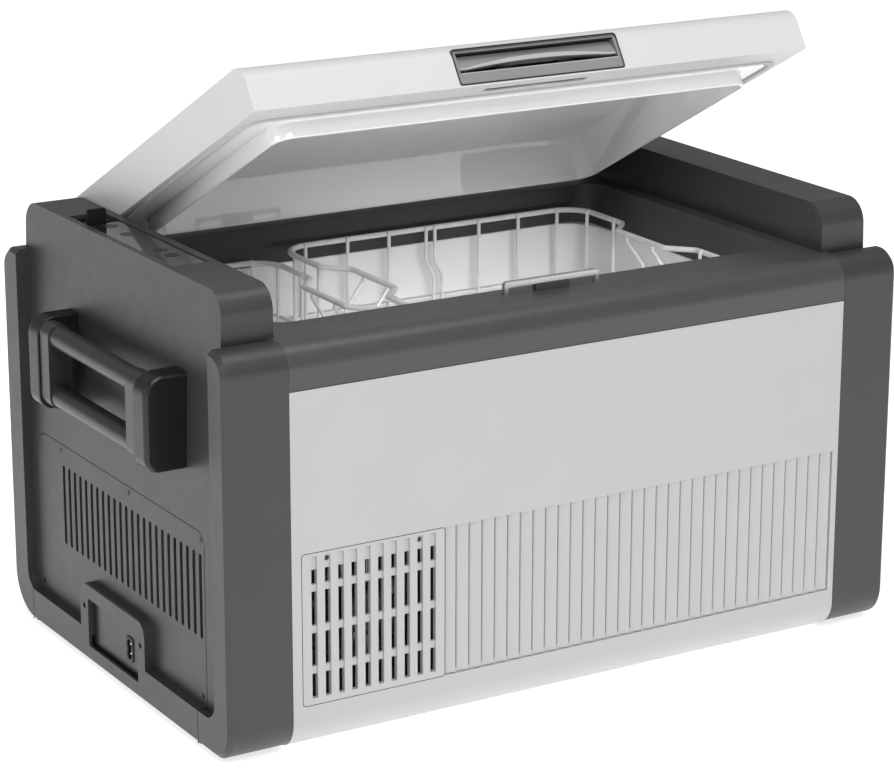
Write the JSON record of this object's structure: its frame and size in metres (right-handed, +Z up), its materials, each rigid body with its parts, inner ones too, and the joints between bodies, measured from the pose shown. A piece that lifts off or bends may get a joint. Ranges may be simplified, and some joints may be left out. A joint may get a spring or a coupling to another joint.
{
  "type": "compressor cooler fridge",
  "caption": "Portable compressor cool box with a hinged latching lid, swing handles at both ends, two wire baskets and a working machine compartment.",
  "frame": {"origin": "on the floor, under the middle of the cabinet and its open lid", "axes": "+X along the length, away from the end with the sockets; +Y to the hinge side; +Z up"},
  "size_m": [0.699, 0.42, 0.5398],
  "materials": {
    "frame_plastic": "matte",
    "panel_plastic": "satin",
    "lid_plastic": "satin",
    "latch_plastic": "satin",
    "liner_plastic": "satin",
    "bush_plastic": "satin",
    "foam": "matte",
    "rubber": "matte",
    "base_plastic": "matte",
    "steel": "satin",
    "coated_wire": "satin",
    "lens": "gloss",
    "button_plastic": "satin",
    "black_plastic": "matte",
    "circuit": "satin",
    "black_enamel": "satin",
    "plated_steel": "satin",
    "bare_aluminium": "satin",
    "copper": "satin"
  },
  "bodies": {
    "cabinet": {"end_frame_left": "frame_plastic", "end_frame_right": "frame_plastic", "ear_plugs": "frame_plastic", "service_cover": "frame_plastic", "socket_plate": "frame_plastic", "top_rim": "frame_plastic", "handle_bracket_left_front": "frame_plastic", "handle_bracket_left_rear": "frame_plastic", "handle_bracket_right_front": "frame_plastic", "handle_bracket_right_rear": "frame_plastic", "front_panel": "panel_plastic", "rear_panel": "panel_plastic", "front_grille": "panel_plastic", "inner_tub": "liner_plastic", "foam_insulation": "foam", "rubber_feet": "rubber", "compressor_mounts": "rubber", "base_pan": "base_plastic", "striker": "steel", "cover_screws": "steel", "grille_screws": "steel", "hinge_pins": "steel", "handle_rod_left": "steel", "handle_rod_right": "steel", "ac_inlet_pins": "steel", "basket_large": "coated_wire", "basket_small": "coated_wire", "control_lens": "lens", "ac_inlet": "black_plastic", "control_tray": "black_plastic", "usb_socket": "black_plastic", "fan_frame": "black_plastic", "display_board": "circuit", "compressor": "black_enamel", "compressor_bracket": "black_enamel", "machine_partition": "plated_steel", "evaporator": "bare_aluminium", "condenser": "bare_aluminium", "control_module": "bare_aluminium", "refrigerant_tubes": "copper", "filter_drier": "copper"},
    "lid": {"lid_shell": "lid_plastic", "lid_liner": "liner_plastic", "lid_foam": "foam", "lid_gasket": "rubber", "latch_housing": "latch_plastic", "latch_pin": "steel", "hinge_bushes": "bush_plastic"},
    "latch": {"latch_lever": "latch_plastic", "latch_hook": "steel"},
    "handle_left": {"handle_loop_left": "frame_plastic"},
    "handle_right": {"handle_loop_right": "frame_plastic"},
    "fan": {"fan_rotor": "black_plastic"},
    "power_button": {"power_button": "button_plastic"},
    "set_button": {"set_button": "button_plastic"},
    "up_button": {"up_button": "button_plastic"},
    "down_button": {"down_button": "button_plastic"},
    "usb_flap": {"usb_cover": "rubber"}
  },
  "joints": [
    {"name": "lid_hinge", "type": "hinge", "parent": "cabinet", "child": "lid", "pos_m": [0, 0.177, 0.369], "axis": [-1, 0, 0], "range_deg": [-28, 67]},
    {"name": "latch_pull", "type": "hinge", "parent": "lid", "child": "latch", "pos_m": [0, -0.12991, 0.52879], "axis": [-1, 0, 0], "range_deg": [-7.5, 5], "stiffness_Nm_per_rad": 0.02, "springref_deg": -7.5},
    {"name": "handle_left_swing", "type": "hinge", "parent": "cabinet", "child": "handle_left", "pos_m": [-0.337, -0.01, 0.291], "axis": [0, 1, 0], "range_deg": [-10, 90]},
    {"name": "handle_right_swing", "type": "hinge", "parent": "cabinet", "child": "handle_right", "pos_m": [0.337, -0.01, 0.291], "axis": [0, -1, 0], "range_deg": [-10, 90]},
    {"name": "fan_spin", "type": "hinge", "parent": "cabinet", "child": "fan", "pos_m": [-0.19375, -0.188, 0.10525], "axis": [0, 1, 0], "continuous": true},
    {"name": "usb_flap_turn", "type": "hinge", "parent": "cabinet", "child": "usb_flap", "pos_m": [-0.2925, 0.082, 0.3792], "axis": [-1, 0, 0], "range_deg": [0, 90]},
    {"name": "power_button_press", "type": "slide", "parent": "cabinet", "child": "power_button", "axis": [0, 0, -1], "range_m": [0, 0.0008], "stiffness_N_per_m": 900},
    {"name": "set_button_press", "type": "slide", "parent": "cabinet", "child": "set_button", "axis": [0, 0, -1], "range_m": [0, 0.0008], "stiffness_N_per_m": 900},
    {"name": "up_button_press", "type": "slide", "parent": "cabinet", "child": "up_button", "axis": [0, 0, -1], "range_m": [0, 0.0008], "stiffness_N_per_m": 900},
    {"name": "down_button_press", "type": "slide", "parent": "cabinet", "child": "down_button", "axis": [0, 0, -1], "range_m": [0, 0.0008], "stiffness_N_per_m": 900}
  ]
}
